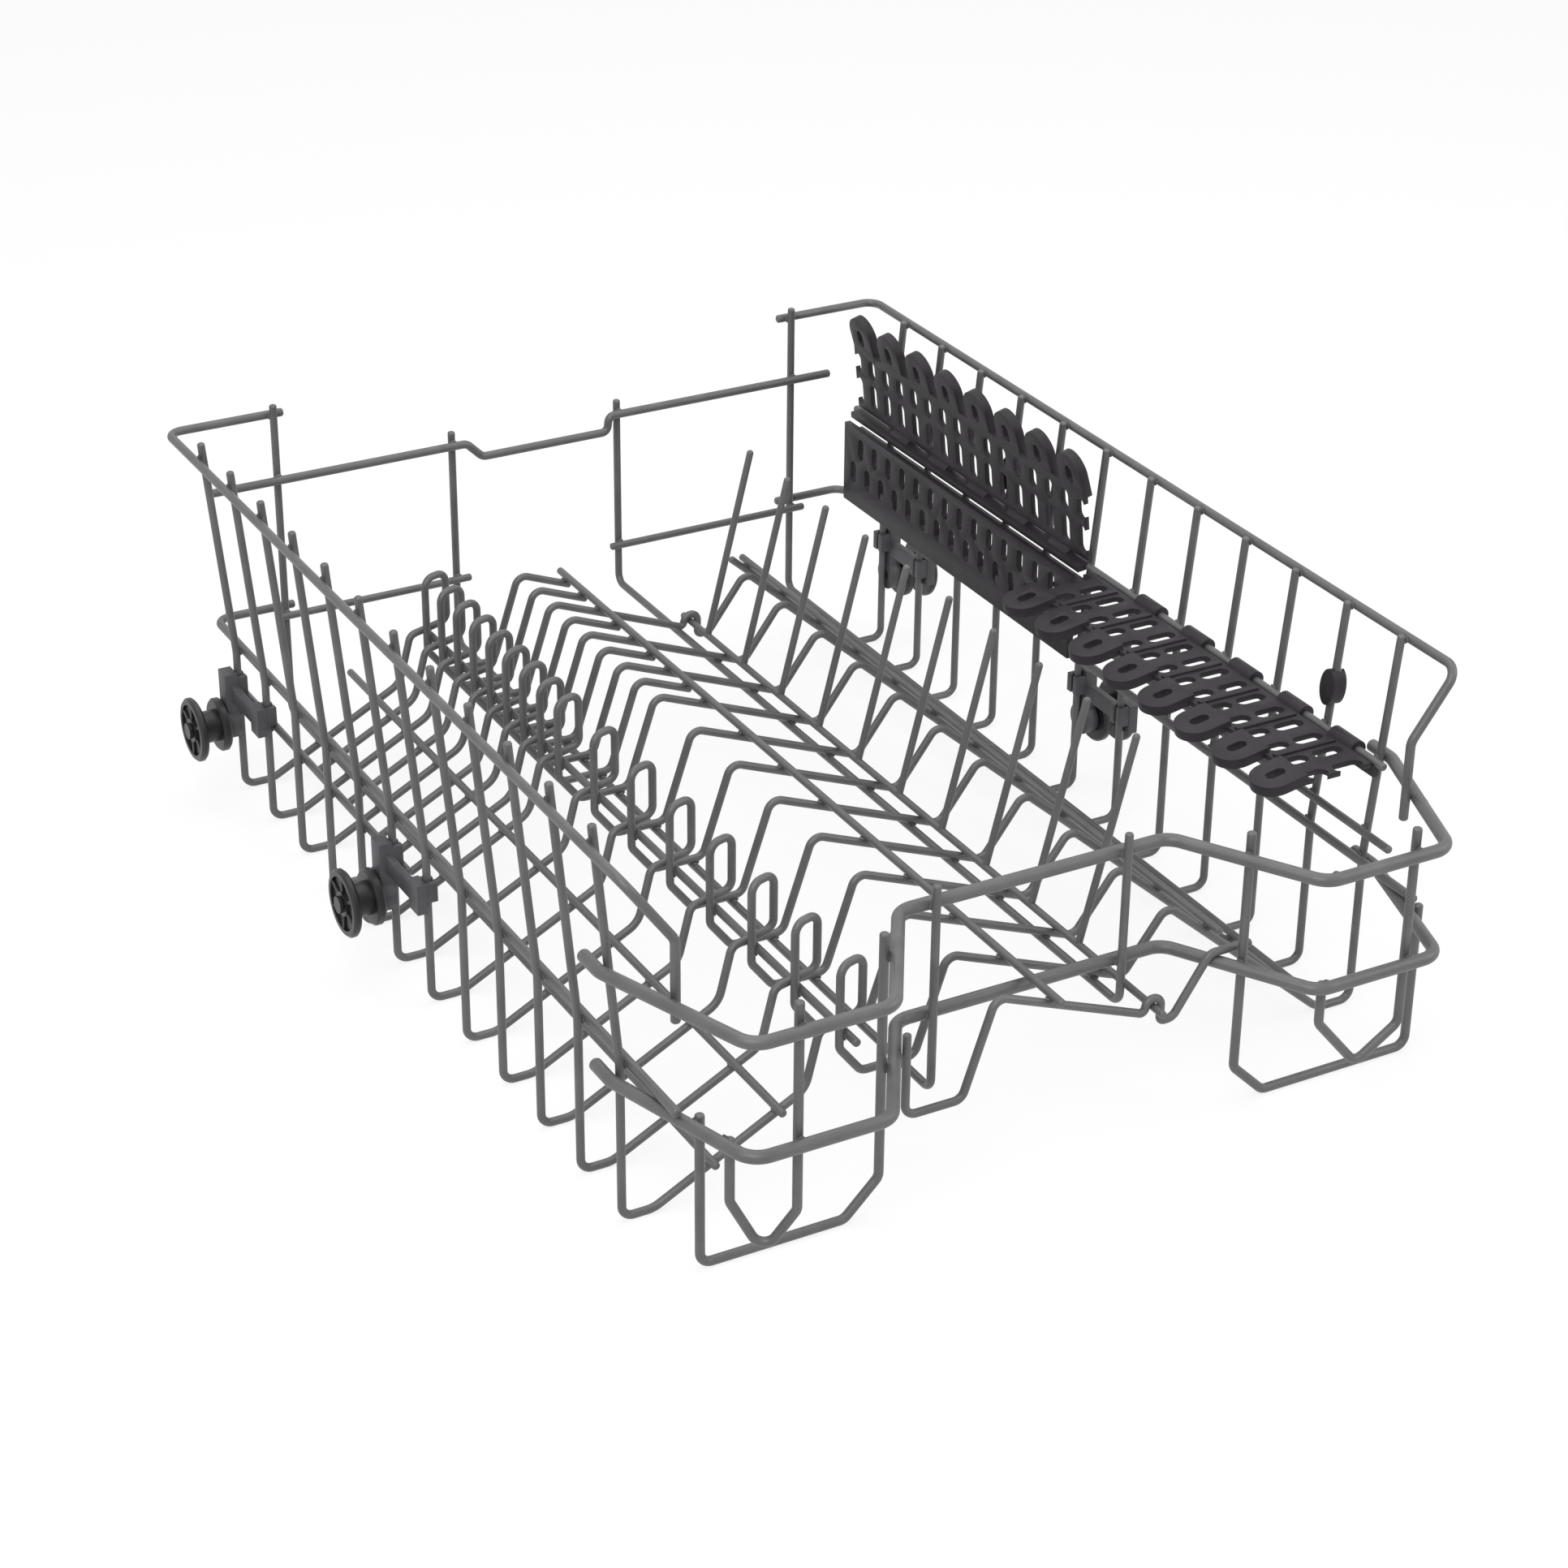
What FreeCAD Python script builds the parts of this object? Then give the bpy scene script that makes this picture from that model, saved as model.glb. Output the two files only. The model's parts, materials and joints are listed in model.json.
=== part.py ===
"""Upper rack of a slimline dishwasher: welded, coated wire basket with rollers, cup shelves and tines."""
import FreeCAD, Part
import math
import os
from FreeCAD import Vector

# Wire stock and clearances, in millimetres
wire = 3.5
rim_wire = 3.9
rail = 5.4
weld_gap = 0.15
running_gap = 0.3
pivot_clearance = 0.08
pin_clearance = 0.02
bend = 5.0
wire_tail = 8.0
end_round = 1.0

# Cross ribs and side walls
rib_pitch = 36.0
rib_count = 12
short_rib_count = 4
short_rib_tail = 3.0
wall_half_width = 171.5
ring_height = 71.0
rim_height = 168.0
rim_flare = 9.0
left_rib_stub = 8.0
right_rib_stub = 2.0
kink_bend = 25.0

# Left floor, from the wall to the foot of the loops
left_slope_inset = 13.5
left_slope_end = 92.0
left_slope_top = 36.0
slope_bend = 12.0

# Upright loops that part the glasses
loop_left = 77.0
loop_width = 12.0
loop_top = 87.0
loop_cross_height = 60.0
loop_lead = 7.0
loop_lead_rise = 2.0
loop_leg_foot = 50.0

# Trough, plateau, valley and ridge of the floor
trough_left = 67.0
trough_right = 43.0
trough_height = 37.0
plateau_left = 29.0
plateau_height = 79.0
valley_x = 54.0
valley_height = 46.0
ridge_x = 74.0
ridge_height = 73.0
right_slope_inset = 16.5

# Wires that run from back to front
left_floor_wire_x = 104.0
post_inset = 38.5
left_centre_x = 47.0
right_centre_x = 41.0
plateau_wire_x = 5.0
ridge_wire_x = 93.0
loop_wire_drop = 4.5
carrier_wire_height = 48.0
carrier_wire_ribs = 5
wall_wire_height = 83.5
wall_wire_overhang = 20.0

# Back of the basket
back_reach = 32.0
upper_back_height = 138.0
upper_back_left_inset = 3.5
upper_back_right_inset = 16.5
lower_back_height = 69.0
back_dip = 8.0
back_dip_run = 8.0
back_step_run = 1.0
back_step_bend = 3.4
post_overlap = 6.0

# Front rails, seen from above; an overhang is measured forward from the last full rib
front_overhang = 73.0
recess_overhang = 15.0
shoulder_overhang = 2.0
rail_end_run = 14.0
corner_inset = 17.0
bay_inner_half_width = 96.0
recess_half_width = 61.0
upper_rail_height = 115.0
shoulder_bend = 12.0
corner_bend = 10.0
bay_bend = 10.0
rail_stub = 10.0

# Ends of the rims
rim_overhang = 32.0
rim_knee_height = 140.0
rim_bend = 7.0
ring_overhang = 40.0

# Feet and corner braces under the front bays
foot_overhang = 41.0
foot_chamfer = 15.0
foot_top_above_rail = 3.0
left_brace_inset = 21.5
right_brace_inset = 13.0
right_brace_short_offset = 5.5
left_brace_short_overhang = 56.0
left_brace_bends = (38.0, 15.5, 35.0)
right_brace_bends = (47.0, 23.0, 36.0)

# Folding row of tines
tine_wire = 3.2
tine_rod_x = 43.0
tine_length = 92.0
tine_lean = 14.0
tine_count = 10
rear_hump_rib = 1

# Cup shelves
shelf_hinge_height = 115.0
shelf_width = 37.0
shelf_thickness = 2.4
shelf_root_gap = 3.5
lobe_count = 8
lobes_to_three_ribs = 4
lobe_width = 19.0
lobe_length = 18.0
lobe_droop = 10.0
lobe_thickness = 4.4
shelf_slot_width = 6.0
root_slot_place = 6.5
root_slot_length = 14.0
edge_slot_place = 23.5
edge_slot_length = 10.0
lobe_slot_width = 5.0
lobe_slot_place = 2.5
lobe_slot_length = 9.0
knuckle_radius = 4.0
knuckle_length = 16.0
knuckle_count = 5
heel_height = 6.0
heel_thickness = 3.0
shelf_shift = 10.5
rear_shelf_first_rib = 0
front_shelf_first_rib = 6
folded_up = 84.0

# Skirt under the rear shelf, and catches that hold the lifted shelves
skirt_thickness = 3.0
skirt_top = 112.0
skirt_hook_length = 12.0
skirt_hook_wall = 2.0
skirt_hook_ribs = (0, 3)
skirt_slot_width = 5.0
skirt_slot_height = 11.0
skirt_slot_rows = (83.0, 97.0)
skirt_ledge_drop = 4.5
skirt_ledge_thickness = 2.0
catch_height = 16.0
catch_bottom = 124.0
catch_thickness = 1.8
catch_width = 9.2
rear_catch_rib = 3
front_catch_rib = 10

# Rollers, axles and carriers
axle_diameter = 5.0
axle_height = 36.0
axle_head_diameter = 7.6
axle_head_thickness = 1.4
front_axle_rib = 5
carrier_thickness = 6.0
carrier_half_width = 4.5
carrier_boss_radius = 7.5
carrier_rise = 26.0
arm_thickness = 3.2
arm_bottom = 12.0
arm_height = 8.0
clip_thickness = 4.6
clip_bottom = 10.0
clip_height = 14.0
jaw_bottom = 14.5
jaw_height = 9.0
jaw_thickness = 2.2
jaw_lip = 1.2
roller_radius = 15.0
roller_inner_radius = 12.5
roller_hub_radius = 7.5
roller_outer_flange = 3.6
roller_inner_flange = 4.2
roller_groove = 8.2
roller_side_play = 0.5
roller_recess_inner = 5.5
roller_recess_outer = 12.0
roller_recess_depth = 1.4
roller_edge = 1.0

# Derived places
floor_height = wire / 2
last_rib = (rib_count - 1) * rib_pitch
front_rib_reach = last_rib + rib_pitch
front_reach = last_rib + front_overhang
recess_reach = last_rib + recess_overhang
rail_shoulder_reach = last_rib + shoulder_overhang
rail_end_reach = rail_shoulder_reach - rail_end_run
rim_front_reach = last_rib + rim_overhang
foot_reach = last_rib + foot_overhang
corner_half_width = wall_half_width - corner_inset
left_slope_start = wall_half_width - left_slope_inset
right_slope_end = wall_half_width - right_slope_inset
post_x = wall_half_width - post_inset
lobe_pitch = 3 * rib_pitch / lobes_to_three_ribs
weld_pitch = wire + weld_gap
rim_weld_pitch = (wire + rim_wire) / 2 + weld_gap
rail_weld_pitch = (wire + rail) / 2 + weld_gap
rim_rail_pitch = (rim_wire + rail) / 2 + weld_gap
ring_x = wall_half_width - rim_weld_pitch
flare_slope = rim_flare / (rim_height - ring_height)
back_reach_outer = back_reach + rim_weld_pitch
rear_rib_y = (front_reach + rail / 2 - back_reach_outer - rim_wire / 2) / 2
lower_rail_height = ring_height - rim_rail_pitch
half_turn = 180.0

parts = {}


def forward(distance):
    """Y of a place this far in front of the rearmost rib."""
    return rear_rib_y - distance


def rib_y(number):
    """Y of a rib, counted from 0 at the back."""
    return forward(number * rib_pitch)


def wall_x(height):
    """Half width of the basket wall's centreline at a height."""
    return wall_half_width + flare_slope * max(0.0, height - ring_height)


def beside(start, end, x, gap):
    """Point at a distance above (or below, if negative) the straight floor run that passes x."""
    run = Vector(end[0] - start[0], end[1] - start[1], 0)
    run.normalize()
    height = start[1] + (end[1] - start[1]) * (x - start[0]) / (end[0] - start[0])
    return x - run.y * gap, height + run.x * gap


def bent_path(points, radii):
    """Straight runs joined by tangent arcs at the inner points."""
    edges = []
    start = points[0]
    for before, corner, after, radius in zip(points, points[1:], points[2:], radii):
        back = (before - corner).normalize()
        ahead = (after - corner).normalize()
        half = (math.pi - back.getAngle(ahead)) / 2
        reach = radius * math.tan(half)
        inward = (back + ahead).normalize()
        entry = corner + back * reach
        middle = corner + inward * (radius / math.cos(half) - radius)
        leave = corner + ahead * reach
        edges.append(Part.LineSegment(start, entry).toShape())
        edges.append(Part.Arc(entry, middle, leave).toShape())
        start = leave
    edges.append(Part.LineSegment(start, points[-1]).toShape())
    return Part.Wire(edges)


def is_end_rim(edge, ends):
    """Whether an edge is the circle round one of a wire's cut ends."""
    return edge.Closed and min((edge.CenterOfMass - end).Length for end in ends) < weld_gap


def bent_wire(corners, diameter):
    """Round wire along corners given as (x, y, z, bend radius)."""
    points = [Vector(*corner[:3]) for corner in corners]
    radii = [corner[3] for corner in corners[1:-1]]
    path = bent_path(points, radii)
    section = Part.Wire(Part.Circle(points[0], points[1] - points[0], diameter / 2).toShape())
    solid = path.makePipeShell([section], True, False)
    expected = path.Length * math.pi * diameter ** 2 / 4
    if abs(solid.Volume / expected - 1) > 0.01:
        raise ValueError("wire volume is %.1f, expected %.1f" % (solid.Volume, expected))
    rims = [edge for edge in solid.Edges if is_end_rim(edge, (points[0], points[-1]))]
    return solid.makeFillet(end_round, rims)


def straight_wire(x, z, back, front, diameter=wire):
    """Wire along Y between two distances in front of the rearmost rib."""
    return bent_wire([(x, forward(back), z, 0), (x, forward(front), z, 0)], diameter)


def mirrored(shape):
    """The same shape on the other side of the basket."""
    return shape.mirror(Vector(0, 0, 0), Vector(1, 0, 0))


def block(x_low, x_high, y_low, y_high, z_low, z_high):
    """Box between two corners."""
    return Part.makeBox(x_high - x_low, y_high - y_low, z_high - z_low, Vector(x_low, y_low, z_low))


# Runs of the floor that other wires lie on, as (x, z) pairs
left_slope = ((-left_slope_start, floor_height), (-left_slope_end, left_slope_top))
plateau = ((-plateau_left, plateau_height), (valley_x, valley_height))
right_slope = ((ridge_x, ridge_height), (right_slope_end, floor_height))
tine_axis = beside(*plateau, tine_rod_x, (wire + tine_wire) / 2 + running_gap)
hump_radius = (wire + tine_wire) / 2 + running_gap


def wall_corners(side, y):
    """Corners of a rib's side wall from the top stub down to the floor."""
    top = rim_height + (left_rib_stub if side < 0 else right_rib_stub)
    return [
        (side * wall_x(top), y, top, 0),
        (side * wall_half_width, y, ring_height, kink_bend),
        (side * wall_half_width, y, floor_height, bend),
    ]


def left_wall_corners(y):
    """Left wall of a rib, from the top stub down to the foot of the left slope."""
    return wall_corners(-1, y) + [(-left_slope_start, y, floor_height, slope_bend)]


def right_wall_corners(y):
    """Right wall of a rib, from the foot of the right slope up to the top stub."""
    return [(right_slope_end, y, floor_height, slope_bend)] + wall_corners(1, y)[::-1]


def loop_corners(y):
    """Top of the left slope, the loop that crosses itself, and its leg down to the trough."""
    crossed = y + weld_pitch
    loop_right = loop_left - loop_width
    return [
        (-left_slope_end, y, left_slope_top, slope_bend),
        (-loop_left - loop_lead, crossed, loop_cross_height - loop_lead_rise, bend),
        (-loop_right, crossed, loop_cross_height + loop_lead_rise, bend),
        (-loop_right, crossed, loop_top, bend),
        (-loop_left, y, loop_top, bend),
        (-loop_left, y, loop_leg_foot, bend),
        (-trough_left, y, trough_height, bend),
    ]


def plateau_corners(y):
    """Right end of the trough and the left end of the plateau."""
    return [
        (-trough_right, y, trough_height, bend),
        (-plateau_left, y, plateau_height, bend),
    ]


def hump_corners(y):
    """Keeper arched over the rod of the tines."""
    rod_x, rod_z = tine_axis
    foot = beside(*plateau, rod_x - hump_radius, 0)
    top = rod_z + hump_radius
    tight = wire / 2 + running_gap
    return [
        (foot[0], y, foot[1], tight),
        (foot[0], y, top, hump_radius - pin_clearance),
        (rod_x + hump_radius, y, top, hump_radius - pin_clearance),
        (rod_x + hump_radius, y, valley_height, tight),
    ]


def full_rib(number):
    """Cross rib from the left rim over the floor to the right rim."""
    y = rib_y(number)
    corners = left_wall_corners(y) + loop_corners(y) + plateau_corners(y)
    if number == rear_hump_rib:
        corners += hump_corners(y)
    corners += [
        (valley_x, y, valley_height, bend),
        (ridge_x, y, ridge_height, bend),
    ]
    return bent_wire(corners + right_wall_corners(y), wire)


def short_rib(start, y):
    """Left part of a rib that begins with the given corners and ends under the plateau wire."""
    end_x, end_z = beside(*plateau, short_rib_tail - plateau_wire_x, 0)
    return bent_wire(start + loop_corners(y) + plateau_corners(y) + [(end_x, y, end_z, 0)], wire)


def rear_right_rib():
    """Right part of the rearmost rib, from the ridge wire up to the right rim."""
    y = rib_y(0)
    start_x, start_z = beside(*right_slope, ridge_wire_x - wire_tail, 0)
    return bent_wire([(start_x, y, start_z, 0)] + right_wall_corners(y), wire)


def diagonal_x(reach):
    """Half width of the front rails' slanted run beside the recess."""
    share = (reach - recess_reach) / (front_reach - recess_reach)
    return recess_half_width + share * (bay_inner_half_width - recess_half_width)


def slant_offset(length_x, length_y, pitch):
    """Distance along X between a slanted rail and a wire welded beside it."""
    return pitch * math.hypot(length_x, length_y) / abs(length_y)


def beside_diagonal(reach, side, pitch):
    """Half width of a wire welded outside (1) or inside (-1) the slanted run beside the recess."""
    offset = slant_offset(bay_inner_half_width - recess_half_width, front_reach - recess_reach, pitch)
    return diagonal_x(reach) + side * offset


def front_rib():
    """Short rib in front of the recess, from one slanted rail to the other."""
    y = forward(front_rib_reach)
    half_width = diagonal_x(front_rib_reach)
    left_x = -beside_diagonal(front_rib_reach, -1, rail_weld_pitch)
    over_rail = lower_rail_height + rail_weld_pitch
    corners = [
        (left_x, y, lower_rail_height + wire_tail, 0),
        (left_x, y, trough_height, bend),
    ]
    corners += plateau_corners(y) + hump_corners(y)
    corners += [
        (valley_x, y, valley_height, bend),
        (half_width - wire, y, over_rail, bend),
        (half_width + 2 * wire_tail, y, over_rail, 0),
    ]
    return bent_wire(corners, wire)


def front_rail(height, end_x):
    """Thick rail around the two front bays and across the recess."""
    half = [
        (end_x, forward(rail_end_reach), height, 0),
        (end_x, forward(rail_shoulder_reach), height, shoulder_bend),
        (corner_half_width, forward(front_reach), height, corner_bend),
        (bay_inner_half_width, forward(front_reach), height, bay_bend),
        (recess_half_width, forward(recess_reach), height, bay_bend),
    ]
    other = [(-x, y, z, radius) for x, y, z, radius in half[::-1]]
    return bent_wire(half + other, rail)


def shoulder_x(end_x, reach):
    """Half width of a front rail's slanted side behind the corner."""
    share = (reach - rail_shoulder_reach) / (front_reach - rail_shoulder_reach)
    return end_x + share * (corner_half_width - end_x)


def beside_shoulder(end_x, reach, side):
    """Half width of a rim or foot welded outside (1) or inside (-1) the slanted side of a front rail."""
    offset = slant_offset(end_x - corner_half_width, front_reach - rail_shoulder_reach, rim_rail_pitch)
    return shoulder_x(end_x, reach) + side * offset


upper_rail_end_x = wall_x(upper_rail_height) + rail_weld_pitch
lower_rail_end_x = wall_half_width + rail_weld_pitch
left_post_place = beside(*left_slope, -post_x, weld_pitch)
right_post_place = beside(*right_slope, post_x, weld_pitch)


def top_rim(post_x):
    """Side rim outside the ribs, with its back return and its bent front leg."""
    rim_x = wall_x(rim_height) + rim_weld_pitch
    leg_x = beside_shoulder(upper_rail_end_x, rim_front_reach, -1)
    back_y = forward(-back_reach_outer)
    front_y = forward(rim_front_reach)
    corners = [
        (post_x - post_overlap, back_y, rim_height, 0),
        (rim_x, back_y, rim_height, rim_bend),
        (rim_x, front_y, rim_height, rim_bend),
        (leg_x, front_y, rim_knee_height, rim_bend),
        (leg_x, front_y, upper_rail_height - rail_stub, 0),
    ]
    return bent_wire(corners, rim_wire)


def lower_ring(post_x):
    """Side ring inside the ribs, with its back return, ending on the lower front rail."""
    back_y = forward(-back_reach_outer)
    corners = [
        (post_x - post_overlap, back_y, ring_height, 0),
        (ring_x, back_y, ring_height, rim_bend),
        (ring_x, forward(last_rib + ring_overhang), ring_height, 0),
    ]
    return bent_wire(corners, rim_wire)


def front_foot(side):
    """U-shaped foot under a front bay, its outer leg outside (1) or inside (-1) the lower rail."""
    y = forward(foot_reach)
    outer_x = beside_shoulder(lower_rail_end_x, foot_reach, side)
    inner_x = beside_diagonal(foot_reach, 1, rim_rail_pitch)
    low = rim_wire / 2
    corners = [
        (outer_x, y, lower_rail_height + foot_top_above_rail, 0),
        (outer_x, y, low, bend),
        (inner_x + foot_chamfer, y, low, bend),
        (inner_x, y, low + foot_chamfer, bend),
        (inner_x, y, upper_rail_height + rail_stub, 0),
    ]
    return bent_wire(corners, rim_wire)


def corner_brace(long_x, short_x, short_y, bends):
    """V-shaped brace hung between a point of the front rails and a point of the lower rail."""
    long_y = forward(front_reach) + rim_rail_pitch
    short_knee, vertex, long_knee = bends
    corners = [
        (short_x, short_y, lower_rail_height, 0),
        (short_x, short_y, short_knee, bend),
        ((short_x + long_x) / 2, (short_y + long_y) / 2, vertex, bend),
        (long_x, long_y, long_knee, bend),
        (long_x, long_y, upper_rail_height + rail_stub, 0),
    ]
    return bent_wire(corners, rim_wire)


def rear_post(place):
    """Post at the back that bends forward and lies on the floor ribs."""
    x, z = place
    corners = [
        (x, forward(-back_reach), rim_height + post_overlap, 0),
        (x, forward(-back_reach), z, bend),
        (x, forward(last_rib + wire_tail), z, 0),
    ]
    return bent_wire(corners, wire)


def centre_wire(x, z):
    """Wire that rises at the back, runs under the ribs and rises again in front of the recess."""
    front = recess_reach + rail_weld_pitch
    corners = [
        (x, forward(-back_reach), upper_back_height + post_overlap, 0),
        (x, forward(-back_reach), z, bend),
        (x, forward(front), z, bend),
        (x, forward(front), upper_rail_height + rail_stub, 0),
    ]
    return bent_wire(corners, wire)


def upper_back_wire(left_x, right_x):
    """Wire across the back with a dip between the two centre posts."""
    y = forward(-back_reach + rim_weld_pitch)
    low = upper_back_height - back_dip
    dip_left = left_x + post_overlap
    dip_right = right_x - post_overlap
    corners = [
        (upper_back_left_inset - wall_half_width, y, upper_back_height, 0),
        (dip_left, y, upper_back_height, bend),
        (dip_left + back_dip_run, y, low, bend),
        (dip_right - back_step_run, y, low, back_step_bend),
        (dip_right, y, upper_back_height, back_step_bend),
        (wall_half_width - upper_back_right_inset, y, upper_back_height, 0),
    ]
    return bent_wire(corners, rim_wire)


def lower_back_wire(start_x, end_x):
    """Wire across the back between an outer post and a centre post."""
    y = forward(-back_reach + weld_pitch)
    return bent_wire([(start_x, y, lower_back_height, 0), (end_x, y, lower_back_height, 0)], wire)


def folding_tines():
    """Rod that turns under two keepers, with leaning tines between the ribs."""
    rod_x, rod_z = tine_axis
    row = straight_wire(rod_x, rod_z, rear_hump_rib * rib_pitch - wire_tail,
                        front_rib_reach + wire_tail, tine_wire)
    lean = math.radians(tine_lean)
    direction = Vector(math.sin(lean), 0, math.cos(lean))
    for number in range(tine_count):
        foot = Vector(rod_x, forward((rear_hump_rib + number + 0.5) * rib_pitch), rod_z)
        tip = foot + direction * tine_length
        row = row.fuse(Part.makeCylinder(tine_wire / 2, tine_length, foot, direction))
        row = row.fuse(Part.makeSphere(tine_wire / 2, tip))
    return row.removeSplitter()


wall_tilt = math.atan(flare_slope)
hinge_x = wall_x(shelf_hinge_height) - weld_pitch * math.cos(wall_tilt)
hinge_z = shelf_hinge_height + weld_pitch * math.sin(wall_tilt)


def shelf_slot(place, length, width, y):
    """Rounded slot through the shelf, along X, that starts at a distance from the hinge."""
    radius = width / 2
    low = hinge_z - lobe_thickness
    deep = 2 * lobe_thickness
    near_x = hinge_x - place - radius
    far_x = hinge_x - place - length + radius
    slot = block(far_x, near_x, y - radius, y + radius, low, low + deep)
    slot = slot.fuse(Part.makeCylinder(radius, deep, Vector(near_x, y, low)))
    return slot.fuse(Part.makeCylinder(radius, deep, Vector(far_x, y, low)))


def shelf_lobe(y):
    """Thick rounded finger that droops from the free edge."""
    edge_x = hinge_x - shelf_width
    low = hinge_z - shelf_thickness / 2
    half = lobe_width / 2
    tip_x = edge_x - lobe_length + half
    lobe = block(tip_x, edge_x + shelf_thickness, y - half, y + half, low, low + lobe_thickness)
    lobe = lobe.fuse(Part.makeCylinder(half, lobe_thickness, Vector(tip_x, y, low)))
    lobe = lobe.cut(shelf_slot(shelf_width + lobe_slot_place, lobe_slot_length, lobe_slot_width, y))
    lobe.rotate(Vector(edge_x, y, hinge_z), Vector(0, 1, 0), -lobe_droop)
    return lobe


shelf_half_length = ((lobe_count - 1) * lobe_pitch + lobe_width) / 2


def shelf_centre(first_rib):
    """Y of the middle of a shelf."""
    return forward((first_rib + knuckle_count / 2) * rib_pitch - shelf_shift)


def cup_shelf(first_rib):
    """Slotted shelf, folded down, whose knuckles sit between the ribs on the hinge wire."""
    centre_y = shelf_centre(first_rib)
    half_length = shelf_half_length
    root_x = hinge_x - shelf_root_gap
    low = hinge_z - shelf_thickness / 2
    shelf = block(hinge_x - shelf_width, root_x, centre_y - half_length, centre_y + half_length,
                  low, low + shelf_thickness)
    for number in range(lobe_count):
        y = centre_y + (number - (lobe_count - 1) / 2) * lobe_pitch
        for step in (-1, 1):
            slot_y = y + step * lobe_pitch / 4
            shelf = shelf.cut(shelf_slot(root_slot_place, root_slot_length, shelf_slot_width, slot_y))
            shelf = shelf.cut(shelf_slot(edge_slot_place, edge_slot_length, shelf_slot_width, slot_y))
        shelf = shelf.fuse(shelf_lobe(y))
    for number in range(knuckle_count):
        y = forward((first_rib + number + 0.5) * rib_pitch) - knuckle_length / 2
        shelf = shelf.fuse(Part.makeCylinder(knuckle_radius, knuckle_length, Vector(hinge_x, y, hinge_z),
                                             Vector(0, 1, 0)))
    lowest = hinge_z - heel_height
    heel_x = wall_x(lowest) - wire / 2 / math.cos(wall_tilt) - running_gap
    shelf = shelf.fuse(block(heel_x - heel_thickness, heel_x, centre_y - half_length, centre_y + half_length,
                             lowest, hinge_z))
    bore = Part.makeCylinder(wire / 2 + pivot_clearance, 3 * half_length,
                             Vector(hinge_x, centre_y - 1.5 * half_length, hinge_z), Vector(0, 1, 0))
    return shelf.cut(bore).removeSplitter()


def lifted(shelf):
    """The shelf turned up against the wall."""
    turned = shelf.copy()
    turned.rotate(Vector(hinge_x, 0, hinge_z), Vector(0, 1, 0), folded_up)
    return turned


wall_wire_x = wall_x(wall_wire_height) - weld_pitch * math.cos(wall_tilt)


def upright_slot(inner_x, y, bottom):
    """Rounded upright slot through the skirt."""
    radius = skirt_slot_width / 2
    low = bottom + radius
    top = bottom + skirt_slot_height - radius
    along = Vector(1, 0, 0)
    slot = block(inner_x, inner_x + skirt_thickness, y - radius, y + radius, low, top)
    slot = slot.fuse(Part.makeCylinder(radius, skirt_thickness, Vector(inner_x, y, low), along))
    return slot.fuse(Part.makeCylinder(radius, skirt_thickness, Vector(inner_x, y, top), along))


def shelf_skirt():
    """Slotted plate that hangs on the wall wire below the rear shelf, with a ledge behind its top edge."""
    centre_y = shelf_centre(rear_shelf_first_rib)
    near_y = centre_y - shelf_half_length
    far_y = centre_y + shelf_half_length
    outer_x = ring_x - rim_wire / 2 - running_gap
    inner_x = outer_x - skirt_thickness
    skirt = block(inner_x, outer_x, near_y, far_y, ring_height, skirt_top)
    for row, count in zip(skirt_slot_rows, (2 * lobe_count - 1, 2 * lobe_count - 2)):
        for number in range(count):
            y = centre_y + (number - (count - 1) / 2) * lobe_pitch / 2
            skirt = skirt.cut(upright_slot(inner_x, y, row))
    ledge_top = skirt_top - skirt_ledge_drop
    ledge_bottom = ledge_top - skirt_ledge_thickness
    ledge_x = wall_x(ledge_bottom) - wire / 2 / math.cos(wall_tilt) - running_gap
    skirt = skirt.fuse(block(outer_x, ledge_x, near_y, far_y, ledge_bottom, ledge_top))
    hook_radius = wire / 2 + skirt_hook_wall
    along = Vector(0, 1, 0)
    for number in skirt_hook_ribs:
        y = forward((number + 0.5) * rib_pitch) - skirt_hook_length / 2
        axis = Vector(wall_wire_x, y, wall_wire_height)
        hook = block(inner_x, wall_wire_x, y, y + skirt_hook_length,
                     wall_wire_height, wall_wire_height + hook_radius)
        hook = hook.fuse(Part.makeCylinder(hook_radius, skirt_hook_length, axis, along))
        hook = hook.cut(Part.makeCylinder(wire / 2 + weld_gap, skirt_hook_length, axis, along))
        mouth = block(wall_wire_x - wire / 2 - weld_gap, wall_wire_x + wire / 2 + weld_gap,
                      y, y + skirt_hook_length, wall_wire_height - 2 * hook_radius, wall_wire_height)
        skirt = skirt.fuse(hook.cut(mouth))
    return skirt.removeSplitter()


def shelf_catch(number):
    """Oval clip snapped on a rib of the right wall, with two jaws round the wire."""
    y = rib_y(number)
    rib_x = wall_x(catch_bottom)
    seat = wire / 2 + weld_gap
    face_x = rib_x - seat - catch_thickness
    depth = catch_thickness + 2 * seat + jaw_lip
    top = catch_bottom + catch_height
    centre = Vector(face_x, y, catch_bottom + catch_height / 2)
    tip = centre + Vector(0, 0, catch_height / 2)
    flank = centre + Vector(0, catch_width / 2, 0)
    outline = Part.Ellipse(tip, flank, centre)
    catch = Part.Face(Part.Wire(outline.toShape())).extrude(Vector(depth, 0, 0))
    catch = catch.cut(block(rib_x - seat, rib_x + seat, y - seat, y + seat, catch_bottom, top))
    mouth = seat - jaw_lip
    catch = catch.cut(block(rib_x, rib_x + seat + jaw_lip, y - mouth, y + mouth, catch_bottom, top))
    catch.rotate(Vector(rib_x, y, catch_bottom), Vector(0, 1, 0), math.degrees(wall_tilt))
    return catch.removeSplitter()


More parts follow.
